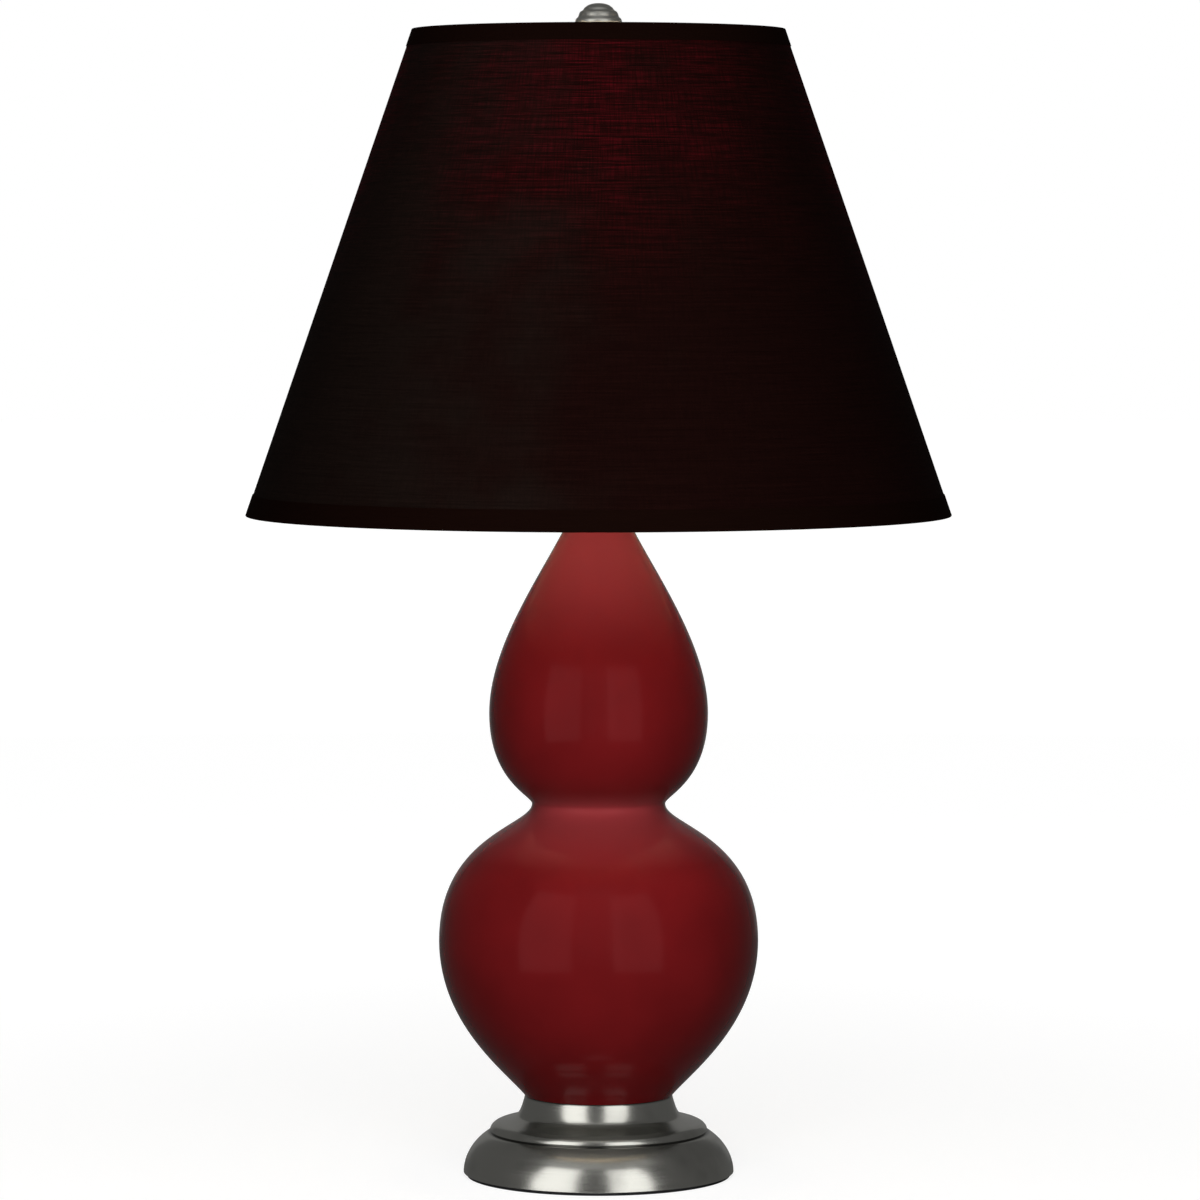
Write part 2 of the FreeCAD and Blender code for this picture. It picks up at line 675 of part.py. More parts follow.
def wire_ring(bottom):
    """Ring of wire that lies against the inside of the panel."""
    top = bottom + RING_WIRE
    outer = shade_radius(top) - SHADE_THICKNESS
    return tube(outer, outer - RING_WIRE, bottom, top)


def shade_bottom_ring():
    """Wire ring inside the bottom edge."""
    return wire_ring(SHADE_BOTTOM_Z + RING_SETBACK)


def shade_spider():
    """Top wire ring joined to a bored hub by three sloping arms."""
    ring_bottom_z = SHADE_TOP_Z - RING_SETBACK - RING_WIRE
    spider = wire_ring(ring_bottom_z)
    hub_middle_z = SHADE_SEAT_Z + HUB_THICKNESS / 2
    ring_radius = shade_radius(ring_bottom_z) - SHADE_THICKNESS - RING_WIRE
    arm = rod(
        section(HUB_RADIUS - SPIDER_ARM_RADIUS, hub_middle_z + SPIDER_ARM_RADIUS),
        section(ring_radius, ring_bottom_z + RING_WIRE / 2),
        SPIDER_ARM_RADIUS,
    )
    for number in range(SPIDER_ARMS):
        turn = 90 + number * FULL_TURN / SPIDER_ARMS
        spider = spider.fuse(arm.rotated(ORIGIN, UP, turn))
    hub = Part.makeCylinder(HUB_RADIUS, HUB_THICKNESS, UP * SHADE_SEAT_Z)
    bore = Part.makeCylinder(POST_RADIUS + POST_CLEARANCE, HUB_THICKNESS * 2, UP * SHADE_SEAT_Z)
    return spider.fuse(hub).cut(bore)


def finial():
    """Stepped beehive knob, tapped from below for the harp's post."""
    bore_radius = POST_RADIUS + POST_CLEARANCE
    return turned(raised([
        (bore_radius, 0),
        (FINIAL_FOOT_RADIUS, 0),
        (FINIAL_FOOT_RADIUS, FINIAL_FOOT_HEIGHT),
        (FINIAL_STEM_RADIUS, FINIAL_FOOT_HEIGHT),
        (FINIAL_STEM_RADIUS, FINIAL_STEM_HEIGHT),
        (FINIAL_LOW_RING_RADIUS, FINIAL_BOWL_HEIGHT),
        (FINIAL_LOW_RING_RADIUS, FINIAL_LOW_RING_TOP),
        (FINIAL_MIDDLE_RING_RADIUS, FINIAL_LOW_RING_TOP),
        (FINIAL_MIDDLE_RING_RADIUS, FINIAL_MIDDLE_RING_TOP),
        (FINIAL_DOME_RADIUS, FINIAL_MIDDLE_RING_TOP),
        (FINIAL_DOME_RADIUS, FINIAL_DOME_SPRING),
        (FINIAL_DOME_TOP_RADIUS, FINIAL_HEIGHT),
        (0, FINIAL_HEIGHT),
        (0, FINIAL_SOCKET_DEPTH),
        (bore_radius, FINIAL_SOCKET_DEPTH),
    ], HUB_TOP_Z))


# ---------------------------------------------------------------- one file for each piece

PIECES = {
    "base_shell": base_shell,
    "felt_pad": felt_pad,
    "base_weight": base_weight,
    "base_washer": base_washer,
    "base_nut": base_nut,
    "cord_bushing": cord_bushing,
    "center_pipe": center_pipe,
    "gourd_body": gourd_body,
    "vase_cap": vase_cap,
    "neck_spacer": neck_spacer,
    "harp_saddle": harp_saddle,
    "harp": harp,
    "harp_sleeve_left": lambda: harp_sleeve(-1),
    "harp_sleeve_right": lambda: harp_sleeve(1),
    "harp_stud": harp_stud,
    "socket_cap": socket_cap,
    "socket_shell": socket_shell,
    "socket_core": socket_core,
    "screw_shell": screw_shell,
    "centre_contact": centre_contact,
    "terminal_screws": terminal_screws,
    "switch_stem": switch_stem,
    "switch_knob": switch_knob,
    "bulb_cap": bulb_cap,
    "bulb_glass": bulb_glass,
    "shade_panel": shade_panel,
    "shade_top_trim": shade_top_trim,
    "shade_bottom_trim": shade_bottom_trim,
    "shade_bottom_ring": shade_bottom_ring,
    "shade_spider": shade_spider,
    "finial": finial,
}

os.makedirs("parts", exist_ok=True)
for name, make in PIECES.items():
    make().exportStep("parts/" + name + ".step")
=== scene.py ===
import math

import bmesh
import bpy
from bpy.props import FloatProperty, FloatVectorProperty, PointerProperty
from bpy.types import Operator, Panel, PropertyGroup
from mathutils import Matrix, Vector
from mathutils.geometry import interpolate_bezier


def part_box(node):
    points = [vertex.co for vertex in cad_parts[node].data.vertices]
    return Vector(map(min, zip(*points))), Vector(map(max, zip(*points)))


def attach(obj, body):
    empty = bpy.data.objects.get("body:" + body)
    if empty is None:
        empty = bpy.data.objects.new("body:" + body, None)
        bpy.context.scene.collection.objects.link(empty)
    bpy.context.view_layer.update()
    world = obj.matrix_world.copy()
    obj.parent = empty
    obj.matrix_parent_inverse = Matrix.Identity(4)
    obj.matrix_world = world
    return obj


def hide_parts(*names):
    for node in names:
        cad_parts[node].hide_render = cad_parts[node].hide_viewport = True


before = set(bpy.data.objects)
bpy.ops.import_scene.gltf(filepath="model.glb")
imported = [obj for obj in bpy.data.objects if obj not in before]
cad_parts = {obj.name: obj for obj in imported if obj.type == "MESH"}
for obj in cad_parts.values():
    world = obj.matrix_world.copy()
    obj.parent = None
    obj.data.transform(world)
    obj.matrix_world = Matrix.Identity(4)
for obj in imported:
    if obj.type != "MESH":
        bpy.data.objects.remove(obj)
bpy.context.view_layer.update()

bl_info = {
    "name": "Double Gourd Lamp",
    "version": (1, 0, 0),
    "blender": (4, 5, 0),
    "location": "3D View > Sidebar > Lamp",
    "description": "Dresses a table lamp: double gourd body, turned metal base and lit fabric shade",
    "category": "Object",
}

MM = 0.001
UP = Vector((0, 0, 1))
AROUND = 160
AROUND_SHADE = 192
AROUND_SMALL = 96
WIRE_SIDES = 12
HARP_WIRE = 1.7 * MM
RING_WIRE = 1.4 * MM
ARM_WIRE = 1.25 * MM
TAPE = 0.35 * MM
TAPE_GAP = 0.05 * MM
PIPE_PITCH = 0.94 * MM
BULB_PITCH = 3.63 * MM
CORD_HOLE_Z = 8 * MM
FLOOR_HALF_SIDE = 12.0
FLOOR_GAP = 0.1 * MM
CARD_CENTRE_Z = 0.12
NOISE_RANGE = (0.3, 0.7)


# ------------------------------------------------------------------ places read from the frame

def low(node):
    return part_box(node)[0]


def high(node):
    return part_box(node)[1]


FOOT_Z = low("gourd_body").z
GOURD_TOP_Z = high("gourd_body").z
SHADE_LOW_Z = low("shade_panel").z
SHADE_HIGH_Z = high("shade_panel").z
SHADE_LOW_RADIUS = high("shade_panel").x
SHADE_HIGH_RADIUS = 91.2 * MM
SHADE_WALL = 1.2 * MM
SEAT_Z = low("shade_spider").z
BULB_Z = low("bulb_cap").z
BULB_GLASS_Z = low("bulb_glass").z
BULB_TOP_Z = high("bulb_glass").z
BULB_RADIUS = high("bulb_glass").x
FINIAL_Z = low("finial").z
GROOVE_Z = FOOT_Z - 18.2 * MM
# Heights of the painted sheen: the glaze is coloured paler at the waist and the neck, where light falls and
# is mirrored.
WAIST_SHEEN_FROM = (FOOT_Z + 118 * MM, FOOT_Z + 147 * MM)
WAIST_SHEEN_TO = (FOOT_Z + 143 * MM, FOOT_Z + 155 * MM)
NECK_SHEEN_FROM = (FOOT_Z + 218 * MM, FOOT_Z + 278 * MM)


# ------------------------------------------------------------------ settings

class LampGourdSettings(PropertyGroup):
    glaze: FloatVectorProperty(
        name="Glaze", description="Colour of the glaze", default=(0.135, 0.0066, 0.0078), subtype="COLOR"
    )
    # Painted sheen: a paler glaze colour at the waist and neck that stands in for light and reflection.
    painted_sheen_glaze: FloatVectorProperty(
        name="Painted sheen glaze",
        description="Paler colour at the waist and neck",
        default=(0.27, 0.034, 0.038),
        subtype="COLOR",
    )
    mirrored: FloatVectorProperty(
        name="Mirrored",
        description="Colour of the body as gloss and metal mirror it",
        default=(0.2, 0.2, 0.19),
        subtype="COLOR",
    )
    gloss: FloatProperty(name="Roughness", description="Roughness of the glaze", default=0.14, min=0, max=1)


class LampMetalSettings(PropertyGroup):
    silver: FloatVectorProperty(
        name="Silver",
        description="Main colour of the base and finial",
        default=(0.54, 0.535, 0.5),
        subtype="COLOR",
    )
    darker_tone: FloatVectorProperty(
        name="Darker tone",
        description="Colour in the base's grooves and patches",
        default=(0.12, 0.12, 0.11),
        subtype="COLOR",
    )
    satin: FloatVectorProperty(
        name="Satin",
        description="Paler colour mixed into the finial's",
        default=(0.68, 0.675, 0.64),
        subtype="COLOR",
    )


class LampShadeSettings(PropertyGroup):
    fabric: FloatVectorProperty(
        name="Fabric",
        description="Colour of the shade's cloth on the left",
        default=(0.0062, 0.0036, 0.0028),
        subtype="COLOR",
    )
    fabric_warm: FloatVectorProperty(
        name="Warm fabric",
        description="Redder colour of the cloth on the right",
        default=(0.0052, 0.0015, 0.0012),
        subtype="COLOR",
    )
    glow: FloatVectorProperty(
        name="Glow",
        description="Light that comes through the cloth on the left",
        default=(1.0, 0.0, 0.09),
        subtype="COLOR",
    )
    glow_warm: FloatVectorProperty(
        name="Warm glow",
        description="Light that comes through the cloth on the right",
        default=(1.0, 0.0, 0.05),
        subtype="COLOR",
    )
    glow_strength: FloatProperty(
        name="Glow strength", description="Brightness of the cloth before the bulb", default=0.02, min=0
    )
    glow_height: FloatProperty(
        name="Glow height", description="Height at which the glow is full", default=0.545, unit="LENGTH"
    )


class LampBulbSettings(PropertyGroup):
    light: FloatVectorProperty(
        name="Light", description="Colour of the lit bulb", default=(1.0, 0.86, 0.68), subtype="COLOR"
    )
    strength: FloatProperty(name="Strength", description="Brightness of the lit bulb", default=32.0, min=0)


class LampStageSettings(PropertyGroup):
    camera_distance: FloatProperty(
        name="Camera distance", description="Distance from the lamp's axis", default=2.8, unit="LENGTH"
    )
    camera_height: FloatProperty(
        name="Camera height", description="Height of the camera", default=0.46, unit="LENGTH"
    )
    aim_height: FloatProperty(
        name="Aim height", description="Height that the camera looks at", default=0.2852, unit="LENGTH"
    )
    lens: FloatProperty(name="Lens", description="Focal length", default=170.8, unit="CAMERA")


# ------------------------------------------------------------------ modelling helpers

def new_object(name, data):
    """An object of a finished mesh, light or camera, in the scene."""
    made = bpy.data.objects.new(name, data)
    bpy.context.scene.collection.objects.link(made)
    return made


def smooth(mesh, sharp):
    """Smooth faces, with every edge sharper than an angle kept."""
    mesh.shade_smooth()
    mesh.set_sharp_from_angle(angle=math.radians(sharp))


def finish_mesh(name, work, sharp=35):
    """The object made from a bmesh, with smooth faces and sharp edges kept."""
    bmesh.ops.remove_doubles(work, verts=work.verts, dist=1e-6)
    bmesh.ops.recalc_face_normals(work, faces=work.faces)
    mesh = bpy.data.meshes.new(name)
    work.to_mesh(mesh)
    work.free()
    smooth(mesh, sharp)
    return new_object(name, mesh)


def spin_into(work, outline, closed=False, steps=AROUND):
    """Turns an outline of (radius, height) points about the lamp's axis."""
    points = [work.verts.new((radius, 0, height)) for radius, height in outline]
    edges = [work.edges.new(pair) for pair in zip(points, points[1:])]
    if closed:
        edges.append(work.edges.new((points[-1], points[0])))
    bmesh.ops.spin(
        work, geom=points + edges, cent=(0, 0, 0), axis=UP, dvec=(0, 0, 0),
        angle=math.tau, steps=steps, use_merge=True, use_duplicate=False,
    )


def turned(name, outline, closed=False, steps=AROUND, sharp=35):
    """A turned piece."""
    work = bmesh.new()
    spin_into(work, outline, closed, steps)
    return finish_mesh(name, work, sharp)


def curve_points(start, start_handle, end_handle, end, count):
    """Points of one Bezier stretch of an outline, without its first point."""
    flat = [Vector((x, z, 0)) for x, z in (start, start_handle, end_handle, end)]
    return [(point.x, point.y) for point in interpolate_bezier(*flat, count + 1)[1:]]


def millimetres(points, lift=0.0):
    """Outline points given in millimetres, lifted by a height in metres."""
    return [(x * MM, z * MM + lift) for x, z in points]


def round_section(radius, height, thickness):
    """Outline of a wire ring, from its middle's radius and height and the wire's own radius."""
    turns = [math.tau * i / WIRE_SIDES for i in range(WIRE_SIDES)]
    return [(radius + thickness * math.cos(a), height + thickness * math.sin(a)) for a in turns]


def wire(name, path, radius):
    """A round wire along a list of points, as a mesh."""
    curve = bpy.data.curves.new(name, "CURVE")
    curve.dimensions = "3D"
    curve.bevel_depth = radius
    curve.bevel_resolution = WIRE_SIDES // 4
    curve.use_fill_caps = True
    spline = curve.splines.new("POLY")
    spline.points.add(len(path) - 1)
    for point, place in zip(spline.points, path):
        point.co = (*place, 1)
    holder = bpy.data.objects.new(name, curve)
    mesh = bpy.data.meshes.new_from_object(holder)
    bpy.data.objects.remove(holder)
    bpy.data.curves.remove(curve)
    mesh.name = name
    smooth(mesh, 50)
    return new_object(name, mesh)


def joined(name, sharp, *objects):
    """One object from several."""
    work = bmesh.new()
    for piece in objects:
        work.from_mesh(piece.data)
        mesh = piece.data
        bpy.data.objects.remove(piece)
        bpy.data.meshes.remove(mesh)
    mesh = bpy.data.meshes.new(name)
    work.to_mesh(mesh)
    work.free()
    smooth(mesh, sharp)
    return new_object(name, mesh)


def dress(made, material, body=None, instead_of=()):
    """Gives a piece its material and body, and hides the nodes that it stands for."""
    made.data.materials.clear()
    made.data.materials.append(material)
    if body:
        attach(made, body)
    if instead_of:
        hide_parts(*instead_of)
    return made


def dress_nodes(material, *names):
    """Gives CAD nodes that stay in view their material."""
    for name in names:
        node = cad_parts[name]
        node.data.materials.clear()
        node.data.materials.append(material)


# ------------------------------------------------------------------ material helpers

def tinted(colour, amount):
    """A colour made darker or lighter."""
    return tuple(part * amount for part in colour)


def set_or_link(tree, socket, value):
    """Gives a node's socket a value, or another node's output."""
    if hasattr(value, "is_output"):
        tree.links.new(value, socket)
    else:
        socket.default_value = value


def calculate(tree, operation, first, second=0.0):
    """One sum in a node tree."""
    node = tree.nodes.new("ShaderNodeMath")
    node.operation = operation
    for socket, value in zip(node.inputs, (first, second)):
        set_or_link(tree, socket, value)
    return node.outputs[0]


def mixed(tree, factor, first, second, blend="MIX"):
    """One colour from two in a node tree."""
    node = tree.nodes.new("ShaderNodeMix")
    node.data_type = "RGBA"
    node.blend_type = blend
    set_or_link(tree, node.inputs["Factor"], factor)
    colours = [socket for socket in node.inputs if socket.type == "RGBA"]
    for socket, value in zip(colours, (first, second)):
        set_or_link(tree, socket, value if hasattr(value, "is_output") else (*value[:3], 1))
    return [socket for socket in node.outputs if socket.type == "RGBA"][0]


def noise(tree, place, scale, detail, roughness=0.5):
    """Noise at a place in a node tree."""
    node = tree.nodes.new("ShaderNodeTexNoise")
    values = {"Vector": place, "Scale": scale, "Detail": detail, "Roughness": roughness}
    for key, value in values.items():
        set_or_link(tree, node.inputs[key], value)
    return node.outputs["Fac"]


def split(tree, place):
    """The X, Y and Z of a place in a node tree."""
    node = tree.nodes.new("ShaderNodeSeparateXYZ")
    tree.links.new(place, node.inputs[0])
    return node.outputs["X"], node.outputs["Y"], node.outputs["Z"]


def flat_place(tree, x, y):
    """A place in a node tree from its X and Y."""
    node = tree.nodes.new("ShaderNodeCombineXYZ")
    tree.links.new(x, node.inputs["X"])
    tree.links.new(y, node.inputs["Y"])
    return node.outputs[0]


def reach(tree, place):
    """How far a place in a node tree is from the origin."""
    node = tree.nodes.new("ShaderNodeVectorMath")
    node.operation = "LENGTH"
    tree.links.new(place, node.inputs[0])
    return node.outputs["Value"]


class Shader:
    """A node material being built."""

    def __init__(self, name):
        self.material = bpy.data.materials.get(name) or bpy.data.materials.new(name)
        self.material.use_nodes = True
        self.tree = self.material.node_tree
        self.tree.nodes.clear()
        output = self.add("ShaderNodeOutputMaterial")
        self.surface = self.add("ShaderNodeBsdfPrincipled")
        self.link(self.surface.outputs["BSDF"], output.inputs["Surface"])

    def add(self, kind, **values):
        node = self.tree.nodes.new(kind)
        for key, value in values.items():
            setattr(node, key, value)
        return node

    def link(self, source, target):
        self.tree.links.new(source, target)

    def set(self, **values):
        for key, value in values.items():
            set_or_link(self.tree, self.surface.inputs[key.replace("_", " ")], value)

    def object_point(self):
        return self.add("ShaderNodeTexCoord").outputs["Object"]

    def group(self, tree, **values):
        """A node group placed on the piece by its Object coordinates."""
        node = self.add("ShaderNodeGroup", node_tree=tree)
        self.link(self.object_point(), node.inputs["Vector"])
        for key, value in values.items():
            node.inputs[key].default_value = value
        return node

    def mix(self, factor, first, second, blend="MIX"):
        return mixed(self.tree, factor, first, second, blend)

    def remap(self, value, from_low, from_high, to_low, to_high, smooth=False):
        node = self.add("ShaderNodeMapRange", interpolation_type="SMOOTHSTEP" if smooth else "LINEAR")
        self.link(value, node.inputs["Value"])
        limits = (("From Min", from_low), ("From Max", from_high), ("To Min", to_low), ("To Max", to_high))
        for key, number in limits:
            node.inputs[key].default_value = number
        return node.outputs["Result"]

    def math(self, operation, first, second=0.0):
        return calculate(self.tree, operation, first, second)

    def bump(self, height, strength, distance):
        node = self.add("ShaderNodeBump")
        node.inputs["Strength"].default_value = strength
        node.inputs["Distance"].default_value = distance
        self.link(height, node.inputs["Height"])
        self.link(node.outputs["Normal"], self.surface.inputs["Normal"])

    def height(self):
        return split(self.tree, self.object_point())[2]


def built_once(name, size, outputs, build):
    """A shader node group with a place and one size as inputs, built when it is first asked for."""
    tree = bpy.data.node_groups.get(name)
    if tree:
        return tree
    tree = bpy.data.node_groups.new(name, "ShaderNodeTree")
    size_name, usual_size = size
    tree.interface.new_socket(name="Vector", in_out="INPUT", socket_type="NodeSocketVector")
    socket = tree.interface.new_socket(name=size_name, in_out="INPUT", socket_type="NodeSocketFloat")
    socket.default_value = usual_size
    for label in outputs:
        tree.interface.new_socket(name=label, in_out="OUTPUT", socket_type="NodeSocketFloat")
    given, result = tree.nodes.new("NodeGroupInput"), tree.nodes.new("NodeGroupOutput")
    for label, value in zip(outputs, build(tree, given.outputs["Vector"], given.outputs[size_name])):
        tree.links.new(value, result.inputs[label])
    return tree


def grain_group():
    """Even fine grain: a mask and a height from noise at two sizes."""

    def build(tree, place, scale):
        return noise(tree, place, 22, 3), noise(tree, place, scale, 4)

    return built_once("Fine grain", ("Scale", 400.0), ("Mask", "Height"), build)


def lathe_group():
    """Turning marks drawn out round the axis, and broad streaks."""

    def build(tree, place, pitch):
        x, y, z = split(tree, place)
        turn = calculate(tree, "ARCTAN2", x, y)
        along = calculate(tree, "ADD", reach(tree, flat_place(tree, x, y)), z)
        marks = noise(tree, flat_place(tree, turn, calculate(tree, "MULTIPLY", along, pitch)), 1, 3)
        return marks, noise(tree, place, 30, 3)

    return built_once("Turning marks", ("Pitch", 2500.0), ("Marks", "Streaks"), build)


def weave_group():
    """Slub weave on a round shade: streaks that run level, long slubs, fine upright threads and the angle."""
    middle_radius = 0.135
    thread_waves = 5200.0

    def build(tree, place, scale):
        def product(first, second):
            return calculate(tree, "MULTIPLY", first, second)

        def threads(around_scale, level_scale, detail):
            stretched = flat_place(tree, product(around, around_scale), product(level, level_scale))
            return noise(tree, stretched, 1, detail, 0.6)

        def ribs(along):
            return calculate(tree, "ABSOLUTE", calculate(tree, "SINE", product(along, thread_waves)))

        x, y, z = split(tree, place)
        angle = calculate(tree, "ARCTAN2", x, product(y, -1.0))
        around = product(product(angle, middle_radius), scale)
        level = product(z, scale)
        streaks = threads(60.0, 1900.0, 2)
        slubs = threads(20.0, 950.0, 2)
        warp = threads(1100.0, 90.0, 1)
        cloth = product(product(ribs(level), ribs(around)), 0.4)
        height = calculate(tree, "ADD", cloth, calculate(tree, "ADD", streaks, slubs))
        return streaks, slubs, warp, angle, height

    return built_once("Slub weave", ("Scale", 1.0), ("Streaks", "Slubs", "Warp", "Angle", "Height"), build)


# ------------------------------------------------------------------ materials

def glaze_material(settings):
    """Glossy oxblood glaze, a little uneven in depth, with a painted sheen: paler at the waist and neck,
    where light falls and is mirrored.
    """
    made = Shader("Oxblood glaze")
    grain = made.group(grain_group(), Scale=90.0)
    spread = made.remap(grain.outputs["Mask"], *NOISE_RANGE, 0, 1)
    height = made.height()
    # Painted light and reflection: the waist and the neck are coloured paler.
    below = made.remap(height, *WAIST_SHEEN_FROM, 0, 1)
    above = made.remap(height, *WAIST_SHEEN_TO, 1, 0, True)
    neck = made.remap(height, *NECK_SHEEN_FROM, 0, 0.8, True)
    painted_sheen = made.math("MAXIMUM", made.math("MULTIPLY", below, above), neck)
    own_glaze = made.mix(spread, tinted(settings.glaze, 0.86), tinted(settings.glaze, 1.12))
    glaze = made.mix(painted_sheen, own_glaze, settings.painted_sheen_glaze)
    # Gloss and metal mirror the body in grey, as the photograph's base does.
    mirrored = made.add("ShaderNodeLightPath").outputs["Is Glossy Ray"]
    made.set(
        Base_Color=made.mix(mirrored, glaze, settings.mirrored),
        Roughness=made.remap(grain.outputs["Mask"], *NOISE_RANGE, settings.gloss * 0.9, settings.gloss * 1.1),
        Specular_IOR_Level=0.09,
        Specular_Tint=(1.0, 0.45, 0.47, 1),
    )
    made.bump(grain.outputs["Height"], 0.015, 0.0002)
    return made.material


def silver_material(name, colour, darker_tone, smoothest, roughest):
    """Satin antique silver: turned, brushed and dark in the grooves."""
    made = Shader(name)
    lathe = made.group(lathe_group(), Pitch=2600.0)
    height = made.height()
    # The groove below the bead and the lip just under the gourd are coloured darker, and so are random
    # patches.
    off_groove = made.math("ABSOLUTE", made.math("SUBTRACT", height, GROOVE_Z))
    groove = made.remap(off_groove, 0.1 * MM, 0.8 * MM, 1, 0, True)
    lip = made.remap(height, FOOT_Z - 1.2 * MM, FOOT_Z, 0, 0.8, True)
    patches = made.remap(lathe.outputs["Streaks"], 0.52, 0.75, 0, 0.35)
    dark = made.math("MAXIMUM", made.math("MAXIMUM", groove, lip), patches)
    made.set(
        Base_Color=made.mix(dark, colour, darker_tone),
        Roughness=made.remap(lathe.outputs["Marks"], *NOISE_RANGE, smoothest, roughest),
        Metallic=1.0,
    )
    made.bump(lathe.outputs["Marks"], 0.12, 0.0001)
    return made.material


def plain_metal(name, colour, roughness, spread=0.06, scale=500.0):
    """A plated or bare metal with a fine grain."""
    made = Shader(name)
    grain = made.group(grain_group(), Scale=scale)
    made.set(
        Base_Color=made.mix(grain.outputs["Mask"], tinted(colour, 0.75), colour),
        Roughness=made.remap(grain.outputs["Height"], *NOISE_RANGE, roughness - spread, roughness + spread),
        Metallic=1.0,
    )
    made.bump(grain.outputs["Height"], 0.1, 0.0001)
    return made.material


def plain_dielectric(name, colour, roughness, scale=900.0, strength=0.15, specular=0.5):
    """A plastic or felt with a fine grain."""
    made = Shader(name)
    grain = made.group(grain_group(), Scale=scale)
    made.set(
        Base_Color=made.mix(grain.outputs["Height"], tinted(colour, 0.7), colour),
        Roughness=made.remap(grain.outputs["Mask"], *NOISE_RANGE, roughness - 0.05, roughness + 0.05),
        Specular_IOR_Level=specular,
    )
    made.bump(grain.outputs["Height"], strength, 0.0002)
    return made.material


def cloth_material(settings):
    """Black slub cloth, with a painted glow of the bulb's light through it, strongest in three lobes between
    the arms of the spider.
    """
    made = Shader("Shade cloth")
    weave = made.group(weave_group(), Scale=1.0)
    broad = made.group(grain_group(), Scale=20.0)
    streaks = made.remap(weave.outputs["Streaks"], 0.28, 0.72, 0, 1)
    slubs = made.remap(weave.outputs["Slubs"], *NOISE_RANGE, 0, 1)
    warp = made.remap(weave.outputs["Warp"], *NOISE_RANGE, 0.75, 1.25)
    thread = made.math("MULTIPLY", made.math("MULTIPLY", made.math("ADD", streaks, slubs), 0.8), warp)
    across = split(made.tree, made.object_point())[0]
    wander = made.remap(broad.outputs["Mask"], *NOISE_RANGE, -50 * MM, 50 * MM)
    hue = made.remap(made.math("ADD", across, wander), -120 * MM, 30 * MM, 0, 1, True)
    cloth = made.mix(hue, settings.fabric, settings.fabric_warm)
    shading = made.mix(made.remap(thread, 0.2, 1.5, 0, 1), (0.72, 0.72, 0.72), (1.28, 1.28, 1.28))
    # Painted light: the glow fades downwards and is strongest in three lobes, one facing the front.
    above = made.remap(made.height(), settings.glow_height - 130 * MM, settings.glow_height, 0, 1, True)
    lobes = made.math("COSINE", made.math("MULTIPLY", weave.outputs["Angle"], 3.0))
    level = made.math("MULTIPLY", above, made.remap(lobes, -1, 1, 0.06, 1))
    streaked = made.math("POWER", made.remap(thread, 0.1, 1.5, 0.05, 1.5), 2.2)
    patches = made.remap(broad.outputs["Mask"], 0.35, 0.65, 0.6, 1.4)
    amount = made.math("MULTIPLY", made.math("MULTIPLY", level, streaked), patches)
    tint = made.mix(hue, settings.glow, settings.glow_warm)
    made.set(
        Base_Color=made.mix(1, cloth, shading, "MULTIPLY"),
        Roughness=0.9,
        Specular_IOR_Level=0.01,
        Emission_Color=made.mix(1, tint, amount, "MULTIPLY"),
        Emission_Strength=settings.glow_strength,
        Sheen_Weight=0.0015,
        Sheen_Roughness=0.4,
    )
    made.bump(weave.outputs["Height"], 0.3, 0.0004)
    return made.material


def lining_material():
    """Cream stiff backing inside the shade, lit by the bulb."""
    made = Shader("Shade lining")
    grain = made.group(grain_group(), Scale=700.0)
    cream = made.mix(grain.outputs["Mask"], (0.4, 0.37, 0.32), (0.48, 0.45, 0.39))
    made.set(Base_Color=cream, Roughness=0.6)
    made.bump(grain.outputs["Height"], 0.1, 0.0002)
    return made.material


def tape_material():
    """Flat black bias tape."""
    made = Shader("Trim tape")
    weave = made.group(weave_group(), Scale=1.6)
    black = made.mix(weave.outputs["Slubs"], (0.0032, 0.0011, 0.0007), (0.0052, 0.0018, 0.0012))
    made.set(Base_Color=black, Roughness=0.85, Specular_IOR_Level=0.008)
    made.bump(weave.outputs["Height"], 0.25, 0.0002)
    return made.material


def glass_material(settings):
    """Frosted glass of a lit bulb."""
    made = Shader("Lit frosted glass")
    grain = made.group(grain_group(), Scale=300.0)
    frost = made.mix(grain.outputs["Mask"], (0.4, 0.38, 0.34), (0.46, 0.44, 0.4))
    lit = made.remap(made.height(), BULB_GLASS_Z, BULB_GLASS_Z + 22 * MM, 0.25, 1, True)
    light = made.mix(lit, (0.1, 0.08, 0.06), settings.light)
    # The bulb shows at a level at which its shape can be read, and lights the shade at its full one.
    shown = made.mix(lit, (0.006, 0.0045, 0.003), (0.0145, 0.012, 0.008))
    seen = made.add("ShaderNodeLightPath").outputs["Is Camera Ray"]
    made.set(
        Base_Color=frost,
        Roughness=0.35,
        Emission_Color=made.mix(seen, light, shown),
        Emission_Strength=settings.strength,
    )
    return made.material


def threaded_metal(name, colour, roughness, pitch):
    """Plated metal with a screw thread cut round it."""
    made = Shader(name)
    ridge = made.math("SINE", made.math("MULTIPLY", made.height(), math.tau / pitch))
    grain = made.group(grain_group(), Scale=500.0)
    made.set(
        # Painted shade: the colour darkens in the thread's valleys and lightens on its crests.
        Base_Color=made.mix(made.remap(ridge, -1, 1, 0, 1), tinted(colour, 0.6), colour),
        Roughness=made.remap(grain.outputs["Mask"], *NOISE_RANGE, roughness - 0.05, roughness + 0.05),
        Metallic=1.0,
    )
    made.bump(ridge, 0.6, 0.0003)
    return made.material


# ------------------------------------------------------------------ operators

